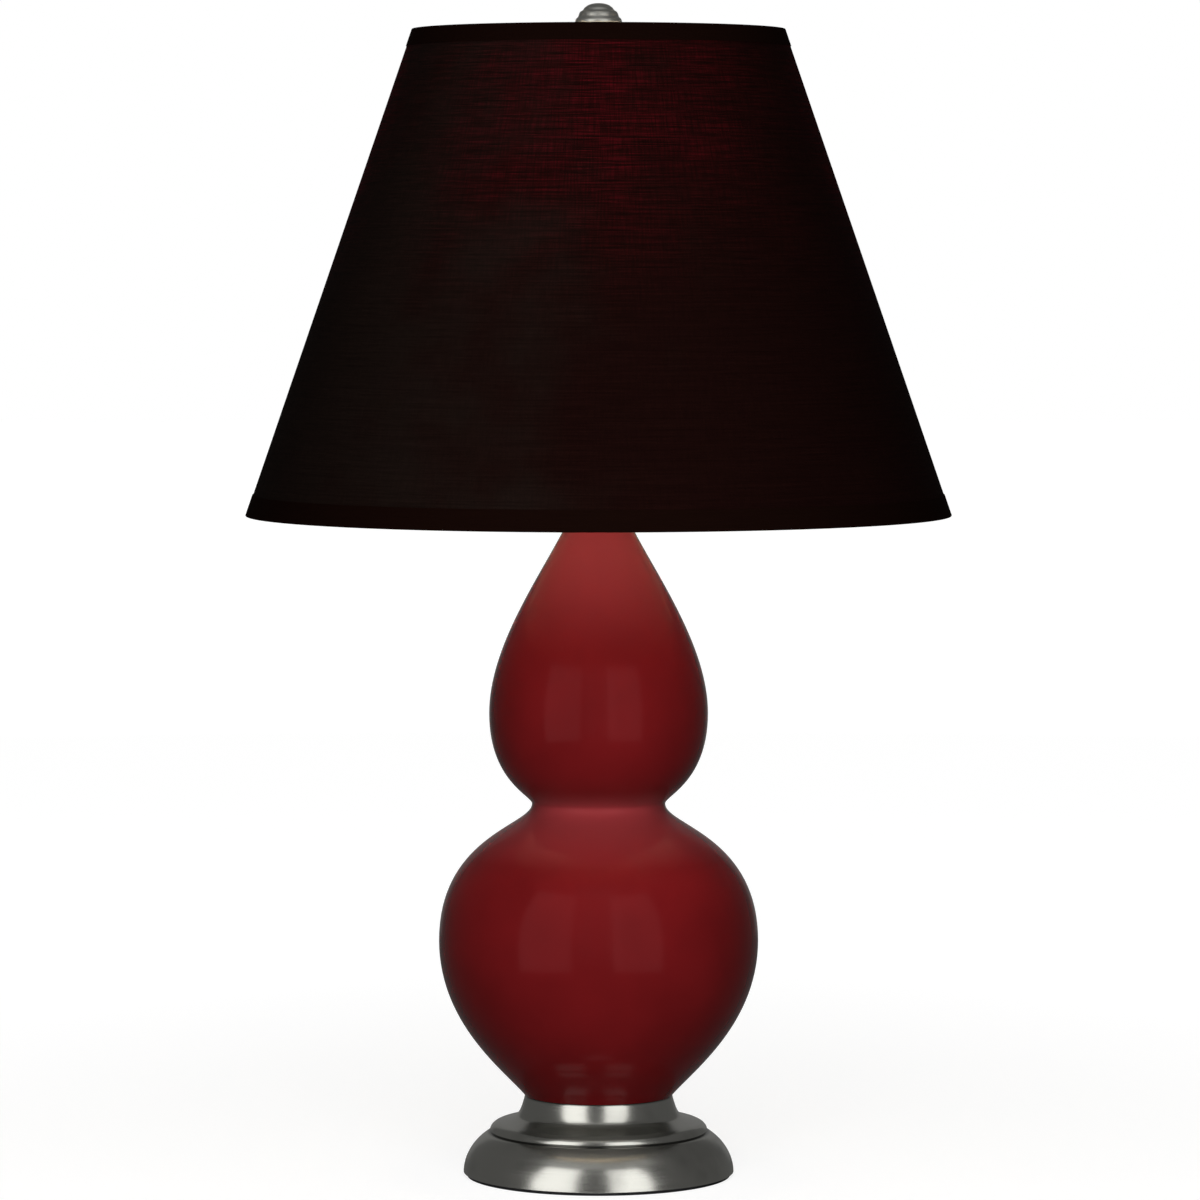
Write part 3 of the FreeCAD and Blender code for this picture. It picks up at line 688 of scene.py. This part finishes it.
class LAMP_OT_gourd(Operator):
    """Turns the glazed double gourd"""

    bl_idname = "lamp.gourd"
    bl_label = "Gourd body"

    def execute(self, context):
        foot = (36.5 * MM, FOOT_Z)
        lower = (78.9 * MM, FOOT_Z + 76.8 * MM)
        waist = (32.9 * MM, FOOT_Z + 144.6 * MM)
        upper = (54.0 * MM, FOOT_Z + 189.3 * MM)
        neck = (18.24 * MM, FOOT_Z + 278.0 * MM)
        outline = [(6.0 * MM, FOOT_Z), (35.9 * MM, FOOT_Z), foot]
        outline += curve_points(
            foot, (foot[0] + 10.71 * MM, foot[1] + 12.69 * MM), (lower[0], lower[1] - 40.8 * MM), lower, 30
        )
        outline += curve_points(
            lower, (lower[0], lower[1] + 51.7 * MM), (waist[0], waist[1] - 11.4 * MM), waist, 34
        )
        outline += curve_points(
            waist, (waist[0], waist[1] + 4.1 * MM), (upper[0], upper[1] - 33.7 * MM), upper, 30
        )
        outline += curve_points(
            upper, (upper[0], upper[1] + 31.1 * MM), (neck[0] + 13.42 * MM, neck[1] - 25.03 * MM), neck, 30
        )
        outline += [(14.6 * MM, GOURD_TOP_Z - 0.2 * MM), (14.2 * MM, GOURD_TOP_Z), (6.0 * MM, GOURD_TOP_Z)]
        body = turned("gourd_glazed", outline, closed=True)
        material = glaze_material(context.scene.lamp_gourd)
        dress(body, material, "stand", ["gourd_body"])
        return {"FINISHED"}


class LAMP_OT_base(Operator):
    """Turns the metal base and cuts the hole for the cord bushing"""

    bl_idname = "lamp.base"
    bl_label = "Metal base"

    def execute(self, context):
        outline = [(65.2, 1.6), (66.7, 1.6), (66.9, 1.8)]
        outline += curve_points((66.9, 1.8), (66.85, 8.2), (63.3, 15.9), (55.3, 21.1), 20)
        outline += [(54.6, 21.4), (53.5, 21.7), (53.4, 21.9), (53.6, 22.1)]
        outline += curve_points((53.6, 22.1), (54.2, 23.6), (52.6, 25.9), (49.4, 26.7), 10)
        outline += curve_points((49.4, 26.7), (46.2, 27.5), (42.6, 28.6), (40.6, 29.9), 10)
        outline += curve_points((40.6, 29.9), (39.0, 31.2), (37.9, 34.4), (36.9, 38.0), 10)
        outline += [(36.7, 38.9), (36.5, 39.6), (36.1, 39.95), (35.6, 40.0)]
        outline += [(5.1, 40.0), (5.1, 34.0), (32.0, 34.0), (32.0, 14.0), (56.5, 14.0), (56.5, 1.6)]
        shell = turned("base_turned", millimetres(outline), closed=True)
        work = bmesh.new()
        hole, recess = (60 * MM, 4.1 * MM), (73 * MM, 5.7 * MM)
        for middle_y, radius in (hole, recess):
            place = Matrix.Translation((0, middle_y, CORD_HOLE_Z)) @ Matrix.Rotation(math.radians(90), 4, "X")
            bmesh.ops.create_cone(
                work, cap_ends=True, segments=48, radius1=radius, radius2=radius, depth=20 * MM, matrix=place
            )
        cutter = finish_mesh("bushing_cutter", work)
        cut = shell.modifiers.new("Bushing hole", "BOOLEAN")
        cut.object = cutter
        cut.operation = "DIFFERENCE"
        cut.solver = "EXACT"
        cut.use_self = True
        bpy.context.view_layer.update()
        cut_mesh = bpy.data.meshes.new_from_object(shell.evaluated_get(context.evaluated_depsgraph_get()))
        shell.modifiers.clear()
        shell.data = cut_mesh
        cut_mesh.set_sharp_from_angle(angle=math.radians(35))
        bpy.data.objects.remove(cutter)
        metal = context.scene.lamp_metal
        silver = silver_material("Antique silver", metal.silver, metal.darker_tone, 0.18, 0.27)
        dress(shell, silver, "stand", ["base_shell"])
        return {"FINISHED"}


class LAMP_OT_base_fittings(Operator):
    """Finishes the felt, weight, fasteners, bushing and pipe"""

    bl_idname = "lamp.base_fittings"
    bl_label = "Fittings in the base"

    def execute(self, context):
        dress_nodes(plain_dielectric("Felt", (0.03, 0.03, 0.032), 0.95, 1500.0, 0.8, 0.1), "felt_pad")
        dress_nodes(plain_metal("Cast iron", (0.14, 0.135, 0.13), 0.65, 0.1, 250.0), "base_weight")
        dress_nodes(plain_metal("Zinc plate", (0.62, 0.61, 0.58), 0.35), "base_washer", "base_nut")
        dress_nodes(plain_dielectric("Black plastic", (0.02, 0.02, 0.02), 0.45), "cord_bushing")
        dress_nodes(threaded_metal("Threaded pipe", (0.6, 0.59, 0.56), 0.35, PIPE_PITCH), "center_pipe")
        return {"FINISHED"}


class LAMP_OT_neck(Operator):
    """Turns the cap on the gourd's mouth and the tube above it"""

    bl_idname = "lamp.neck"
    bl_label = "Neck"

    def execute(self, context):
        nickel = plain_metal("Satin nickel", (0.56, 0.54, 0.5), 0.3)
        lift = low("vase_cap").z
        outline = [(5.0, 0), (15.6, 0), (15.6, 1.2)]
        outline += curve_points((15.6, 1.2), (15.4, 3.2), (11.5, 3.6), (9.4, 5.4), 10)
        outline += [(9.0, 6.0), (9.0, 7.0), (5.0, 7.0)]
        cap = turned("neck_cap", millimetres(outline, lift), closed=True, steps=AROUND_SMALL)
        dress(cap, nickel, "stand", ["vase_cap"])
        bottom = low("neck_spacer").z
        top = high("neck_spacer").z
        bore, flange, barrel = 5.1 * MM, 7.5 * MM, 6.9 * MM
        outline = [(bore, bottom), (flange, bottom), (flange, bottom + 1.5 * MM)]
        outline += [(barrel, bottom + 2.2 * MM), (barrel, top - 2.2 * MM)]
        outline += [(flange, top - 1.5 * MM), (flange, top), (bore, top)]
        spacer = turned("neck_tube", outline, closed=True, steps=AROUND_SMALL)
        dress(spacer, nickel, "stand", ["neck_spacer"])
        return {"FINISHED"}


class LAMP_OT_harp(Operator):
    """Bends the harp and finishes its saddle, sleeves and stud"""

    bl_idname = "lamp.harp"
    bl_label = "Harp"

    def execute(self, context):
        nickel = bpy.data.materials["Satin nickel"]
        joint = low("harp").z
        crown = high("harp").z - 2 * MM
        saddle_top = low("socket_cap").z
        half_span = 28 * MM
        widest = (57 * MM, saddle_top + 112 * MM)
        leg_top = (half_span, joint + 24 * MM)
        half = [(half_span, joint), leg_top]
        half += curve_points(
            leg_top, (half_span, leg_top[1] + 34 * MM), (widest[0], widest[1] - 34 * MM), widest, 16
        )
        half += curve_points(widest, (widest[0], widest[1] + 52 * MM), (35.5 * MM, crown), (0, crown), 18)
        path = [(x, 0, z) for x, z in half]
        path += [(-x, 0, z) for x, z in reversed(half[:-1])]
        loop = wire("harp_loop", path, HARP_WIRE)
        boss_outline = millimetres([(3.28, -2), (7.5, -2), (7.5, 2), (3.28, 2)], crown)
        boss = turned("harp_boss", boss_outline, closed=True, steps=64)
        harp = joined("harp_bent", 40, loop, boss)
        dress(harp, nickel, "stand", ["harp"])
        dress_nodes(nickel, "harp_saddle", "harp_sleeve_left", "harp_sleeve_right", "harp_stud")
        return {"FINISHED"}


class LAMP_OT_socket(Operator):
    """Finishes the socket's cap and shell and what is inside it"""

    bl_idname = "lamp.socket"
    bl_label = "Socket"

    def execute(self, context):
        nickel = bpy.data.materials["Satin nickel"]
        dress_nodes(nickel, "socket_cap", "socket_shell")
        brass = plain_metal("Brass", (0.72, 0.5, 0.2), 0.3)
        dress_nodes(brass, "centre_contact", "terminal_screws")
        dress_nodes(threaded_metal("Screw shell brass", (0.72, 0.5, 0.2), 0.32, BULB_PITCH), "screw_shell")
        dress_nodes(plain_dielectric("Moulded block", (0.018, 0.015, 0.013), 0.4), "socket_core")
        return {"FINISHED"}


class LAMP_OT_switch(Operator):
    """Finishes the switch's stem and knob"""

    bl_idname = "lamp.switch"
    bl_label = "Switch"

    def execute(self, context):
        dress_nodes(bpy.data.materials["Brass"], "switch_stem")
        dress_nodes(bpy.data.materials["Moulded block"], "switch_knob")
        return {"FINISHED"}


class LAMP_OT_bulb(Operator):
    """Blows the bulb and finishes its screw cap"""

    bl_idname = "lamp.bulb"
    bl_label = "Bulb"

    def execute(self, context):
        start = (13.0 * MM, BULB_Z + 36 * MM)
        belt = (BULB_RADIUS, BULB_Z + 74 * MM)
        outline = [(0, BULB_GLASS_Z), (13.0 * MM, BULB_GLASS_Z), start]
        outline += curve_points(
            start, (13.4 * MM, start[1] + 14 * MM), (BULB_RADIUS, belt[1] - 20 * MM), belt, 18
        )
        outline += curve_points(
            belt, (BULB_RADIUS, belt[1] + 17 * MM), (17 * MM, BULB_TOP_Z), (0, BULB_TOP_Z), 20
        )
        glass = turned("bulb_blown", outline, steps=AROUND_SMALL)
        dress(glass, glass_material(context.scene.lamp_bulb), "bulb", ["bulb_glass"])
        dress_nodes(threaded_metal("Bulb cap", (0.75, 0.75, 0.76), 0.25, BULB_PITCH), "bulb_cap")
        return {"FINISHED"}


class LAMP_OT_shade(Operator):
    """Rolls the shade's cloth and lining"""

    bl_idname = "lamp.shade"
    bl_label = "Shade"

    def execute(self, context):
        outline = [
            (SHADE_LOW_RADIUS, SHADE_LOW_Z),
            (SHADE_HIGH_RADIUS, SHADE_HIGH_Z),
            (SHADE_HIGH_RADIUS - SHADE_WALL, SHADE_HIGH_Z),
            (SHADE_LOW_RADIUS - SHADE_WALL, SHADE_LOW_Z),
        ]
        shade = turned("shade_cloth", outline, closed=True, steps=AROUND_SHADE)
        dress(shade, cloth_material(context.scene.lamp_shade), "shade", ["shade_panel"])
        shade.data.materials.append(lining_material())
        for face in shade.data.polygons:
            inward = face.normal.x * face.center.x + face.normal.y * face.center.y < 0
            face.material_index = 1 if inward else 0
        return {"FINISHED"}


def shade_radius(z):
    """Radius of the shade's outer face at a height."""
    slope = (SHADE_HIGH_RADIUS - SHADE_LOW_RADIUS) / (SHADE_HIGH_Z - SHADE_LOW_Z)
    return SHADE_LOW_RADIUS + (z - SHADE_LOW_Z) * slope


def tape_outline(hem, edge, outward, fold):
    """Outline of the tape round one edge of the shade, outward being 1 at the top and -1 at the bottom."""
    outer = TAPE + TAPE_GAP
    inner = SHADE_WALL + TAPE
    crease = edge - outward * fold
    at_hem, at_edge, at_crease = shade_radius(hem), shade_radius(edge), shade_radius(crease)
    return [
        (at_hem + TAPE_GAP, hem),
        (at_hem + outer, hem),
        (at_edge + outer, edge),
        (at_edge + outer * 0.5, edge + outward * 0.3 * MM),
        (at_edge - inner * 0.8, edge + outward * 0.3 * MM),
        (at_edge - inner, edge - outward * 0.1 * MM),
        (at_crease - inner, crease),
        (at_crease - SHADE_WALL, crease),
        (at_edge - SHADE_WALL, edge),
        (at_edge, edge),
    ]


class LAMP_OT_trims(Operator):
    """Binds the shade's top and bottom edges with tape"""

    bl_idname = "lamp.trims"
    bl_label = "Shade trims"

    def execute(self, context):
        tape = tape_material()
        outline = tape_outline(low("shade_top_trim").z, SHADE_HIGH_Z, 1, 2 * MM)
        top = turned("trim_top_tape", outline, closed=True, steps=AROUND_SHADE)
        dress(top, tape, "shade", ["shade_top_trim"])
        outline = tape_outline(high("shade_bottom_trim").z, SHADE_LOW_Z, -1, 0.5 * MM)
        bottom = turned("trim_bottom_tape", outline, closed=True, steps=AROUND_SHADE)
        dress(bottom, tape, "shade", ["shade_bottom_trim"])
        return {"FINISHED"}


class LAMP_OT_shade_frame(Operator):
    """Bends the shade's wires: the spider at the top and the ring at the bottom"""

    bl_idname = "lamp.shade_frame"
    bl_label = "Shade wires"

    def execute(self, context):
        steel = plain_metal("Plated wire", (0.5, 0.5, 0.49), 0.4)
        section = round_section(
            high("shade_bottom_ring").x - RING_WIRE, low("shade_bottom_ring").z + RING_WIRE, RING_WIRE
        )
        ring = turned("ring_wire", section, closed=True, steps=AROUND_SHADE, sharp=60)
        dress(ring, steel, "shade", ["shade_bottom_ring"])
        ring_z = high("shade_spider").z - RING_WIRE
        ring_radius = high("shade_spider").x - RING_WIRE
        section = round_section(ring_radius, ring_z, RING_WIRE)
        parts = [turned("spider_ring", section, closed=True, steps=AROUND_SHADE, sharp=60)]
        arm = [
            (10.5 * MM, SEAT_Z + 1.4 * MM), (14 * MM, SEAT_Z + 2.2 * MM),
            (ring_radius - 8 * MM, ring_z - 1.6 * MM), (ring_radius - 3 * MM, ring_z - 0.6 * MM),
            (ring_radius - 0.6 * MM, ring_z),
        ]
        for degrees in (90, 210, 330):
            turn = Matrix.Rotation(math.radians(degrees), 3, "Z")
            path = [turn @ Vector((x, 0, z)) for x, z in arm]
            parts.append(wire("spider_arm", path, ARM_WIRE))
        hub_outline = [(3.25, 0), (12.2, 0), (12.5, 0.4), (12.5, 1.6), (12.2, 2.0), (3.25, 2.0)]
        parts.append(turned("spider_hub", millimetres(hub_outline, SEAT_Z), closed=True, steps=AROUND_SMALL))
        spider = joined("spider_wires", 45, *parts)
        dress(spider, steel, "shade", ["shade_spider"])
        return {"FINISHED"}


class LAMP_OT_finial(Operator):
    """Turns the stepped finial"""

    bl_idname = "lamp.finial"
    bl_label = "Finial"

    def execute(self, context):
        running_gap = 0.05
        outline = [(3.25, running_gap), (7.3, running_gap), (7.5, 0.3), (7.5, 1.9), (7.0, 2.3)]
        outline += curve_points((7.0, 2.3), (5.2, 3.6), (5.0, 6.6), (8.0, 10.0), 10)
        outline += curve_points((8.0, 10.0), (9.6, 11.8), (11.4, 13.0), (11.45, 15.2), 8)
        outline += curve_points((11.45, 15.2), (11.45, 16.3), (11.1, 16.7), (11.15, 17.1), 4)
        outline += curve_points((11.15, 17.1), (11.6, 17.8), (11.7, 19.5), (10.4, 20.3), 8)
        outline += curve_points((10.4, 20.3), (9.5, 21.0), (9.9, 22.7), (8.5, 23.5), 8)
        outline += curve_points((8.5, 23.5), (7.0, 24.1), (7.6, 24.9), (6.1, 25.7), 8)
        outline += curve_points((6.1, 25.7), (5.2, 26.6), (3.0, 27.4), (0, 27.4), 10)
        outline += [(0, 12.6), (3.25, 12.6)]
        finial = turned("finial_turned", millimetres(outline, FINIAL_Z), steps=AROUND_SMALL)
        fill = bmesh.new()
        fill.from_mesh(finial.data)
        bmesh.ops.holes_fill(fill, edges=fill.edges, sides=0)
        fill.to_mesh(finial.data)
        fill.free()
        metal = context.scene.lamp_metal
        satin = silver_material("Satin silver", metal.satin, metal.silver, 0.34, 0.42)
        dress(finial, satin, "finial", ["finial"])
        return {"FINISHED"}


class LAMP_OT_stage(Operator):
    """Sets the floor, the lights and the camera"""

    bl_idname = "lamp.stage"
    bl_label = "Stage"

    def execute(self, context):
        self.floor()
        self.world()
        self.lights()
        self.camera(context.scene.lamp_stage)
        return {"FINISHED"}

    def floor(self):
        work = bmesh.new()
        under_felt = Matrix.Translation((0, 0, -FLOOR_GAP))
        bmesh.ops.create_grid(work, x_segments=1, y_segments=1, size=FLOOR_HALF_SIDE, matrix=under_felt)
        floor = finish_mesh("Floor", work)
        made = Shader("Pale floor")
        path = made.add("ShaderNodeLightPath")
        seen = made.math("MAXIMUM", path.outputs["Is Camera Ray"], path.outputs["Is Transmission Ray"])
        pale = made.remap(reach(made.tree, made.object_point()), 0.1, 0.9, 0.86, 0.985, True)
        underside = made.add("ShaderNodeNewGeometry").outputs["Backfacing"]
        made.set(
            Base_Color=(0.22, 0.22, 0.22, 1),
            Roughness=0.9,
            Specular_IOR_Level=0.1,
            Emission_Color=made.mix(made.math("MULTIPLY", seen, pale), (0, 0, 0), (1, 1, 1)),
            Emission_Strength=1.0,
            Alpha=made.math("SUBTRACT", 1.0, underside),
        )
        floor.data.materials.append(made.material)
        floor.visible_glossy = False

    def world(self):
        world = bpy.data.worlds.new("Studio")
        bpy.context.scene.world = world
        world.use_nodes = True
        tree = world.node_tree
        path = tree.nodes.new("ShaderNodeLightPath")
        white = path.outputs["Is Camera Ray"]
        for label in ("Is Glossy Ray", "Is Transmission Ray"):
            white = calculate(tree, "MAXIMUM", white, path.outputs[label])
        colour = mixed(tree, white, (0.012, 0.012, 0.012), (1, 1, 1))
        tree.links.new(colour, tree.nodes["Background"].inputs["Color"])

    def lights(self):
        strip, square = (0.2, 1.2), (1.6, 1.6)
        self.softbox("Left softbox", azimuth=-9, elevation=12, distance=0.8, size=strip, power=5.2)
        self.softbox("Right softbox", azimuth=8, elevation=12, distance=0.8, size=strip, power=4.8)
        self.softbox("Top light", azimuth=0, elevation=84, distance=1.9, size=square, power=4.0)
        self.card("Left card", azimuths=(-58, -19), elevations=(-16, 47), distance=1.7, strength=1.7)
        self.card("Right card", azimuths=(10, 46), elevations=(-16, 47), distance=1.7, strength=1.7)
        self.card("Overhead card", azimuths=(-75, 75), elevations=(50, 88), distance=1.75, strength=0.4)
        self.card("Back card", azimuths=(155, 205), elevations=(-6, 50), distance=1.8, strength=0.2)
        self.card("Dark tent", azimuths=(0, 360), elevations=(-80, 89), distance=2.6, strength=0.11)

    def softbox(self, name, azimuth, elevation, distance, size, power):
        """A soft light for the lamp's colours, which gloss and metal don't mirror."""
        light = bpy.data.lights.new(name, "AREA")
        light.shape = "RECTANGLE"
        light.size, light.size_y = size
        light.energy = power
        holder = new_object(name, light)
        a, e = math.radians(azimuth), math.radians(elevation)
        aim = Vector((0, 0, 0.25))
        direction = Vector((math.sin(a) * math.cos(e), -math.cos(a) * math.cos(e), math.sin(e)))
        holder.location = aim + direction * distance
        holder.rotation_euler = (-direction).to_track_quat("-Z", "Y").to_euler()
        holder.visible_glossy = False
        holder.visible_camera = False

    def card(self, name, azimuths, elevations, distance, strength):
        """A curved studio card that only gloss and metal show."""
        start, end = azimuths
        lowest, highest = elevations
        count = 16
        work = bmesh.new()
        verts = []
        for i in range(count + 1):
            e = math.radians(lowest + (highest - lowest) * i / count)
            verts.append(work.verts.new((0, -distance * math.cos(e), CARD_CENTRE_Z + distance * math.sin(e))))
        edges = [work.edges.new(pair) for pair in zip(verts, verts[1:])]
        turn = Matrix.Rotation(math.radians(start), 3, "Z")
        bmesh.ops.rotate(work, cent=(0, 0, 0), matrix=turn, verts=verts)
        bmesh.ops.spin(
            work, geom=verts + edges, cent=(0, 0, 0), axis=UP, dvec=(0, 0, 0),
            angle=math.radians(end - start), steps=48, use_merge=False, use_duplicate=False,
        )
        card = finish_mesh(name, work)
        made = Shader(name)
        made.set(
            Base_Color=(0.0, 0.0, 0.0, 1), Roughness=1.0, Specular_IOR_Level=0.0,
            Emission_Color=(1, 1, 0.985, 1), Emission_Strength=strength,
        )
        card.data.materials.append(made.material)
        card.visible_camera = False
        card.visible_diffuse = False
        card.visible_shadow = False
        card.visible_transmission = False

    def camera(self, settings):
        data = bpy.data.cameras.new("Camera")
        data.lens = settings.lens
        data.sensor_width = 36
        holder = new_object("Camera", data)
        holder.location = (0, -settings.camera_distance, settings.camera_height)
        aim = Vector((0.0007, 0, settings.aim_height))
        holder.rotation_euler = (aim - holder.location).to_track_quat("-Z", "Y").to_euler()
        bpy.context.scene.camera = holder


class LAMP_PT_panel(Panel):
    """Lists the lamp's pieces"""

    bl_idname = "LAMP_PT_panel"
    bl_label = "Double gourd lamp"
    bl_space_type = "VIEW_3D"
    bl_region_type = "UI"
    bl_category = "Lamp"

    def draw(self, context):
        for operator in OPERATORS:
            self.layout.operator(operator.bl_idname)
        for name in SETTINGS:
            box = self.layout.box()
            group = getattr(context.scene, name)
            for key in group.bl_rna.properties.keys():
                if key not in {"rna_type", "name"}:
                    box.prop(group, key)


OPERATORS = (
    LAMP_OT_gourd,
    LAMP_OT_base,
    LAMP_OT_base_fittings,
    LAMP_OT_neck,
    LAMP_OT_harp,
    LAMP_OT_socket,
    LAMP_OT_switch,
    LAMP_OT_bulb,
    LAMP_OT_shade,
    LAMP_OT_trims,
    LAMP_OT_shade_frame,
    LAMP_OT_finial,
    LAMP_OT_stage,
)
SETTINGS = {
    "lamp_gourd": LampGourdSettings,
    "lamp_metal": LampMetalSettings,
    "lamp_shade": LampShadeSettings,
    "lamp_bulb": LampBulbSettings,
    "lamp_stage": LampStageSettings,
}


def register():
    for kind in (*SETTINGS.values(), *OPERATORS, LAMP_PT_panel):
        bpy.utils.register_class(kind)
    for name, kind in SETTINGS.items():
        setattr(bpy.types.Scene, name, PointerProperty(type=kind))


def unregister():
    for name in SETTINGS:
        delattr(bpy.types.Scene, name)
    for kind in (LAMP_PT_panel, *reversed(OPERATORS), *reversed(SETTINGS.values())):
        bpy.utils.unregister_class(kind)


def main():
    register()
    bpy.context.scene.view_settings.view_transform = "Standard"
    for operator in OPERATORS:
        group, name = operator.bl_idname.split(".")
        getattr(getattr(bpy.ops, group), name)()


if __name__ == "__main__":
    main()
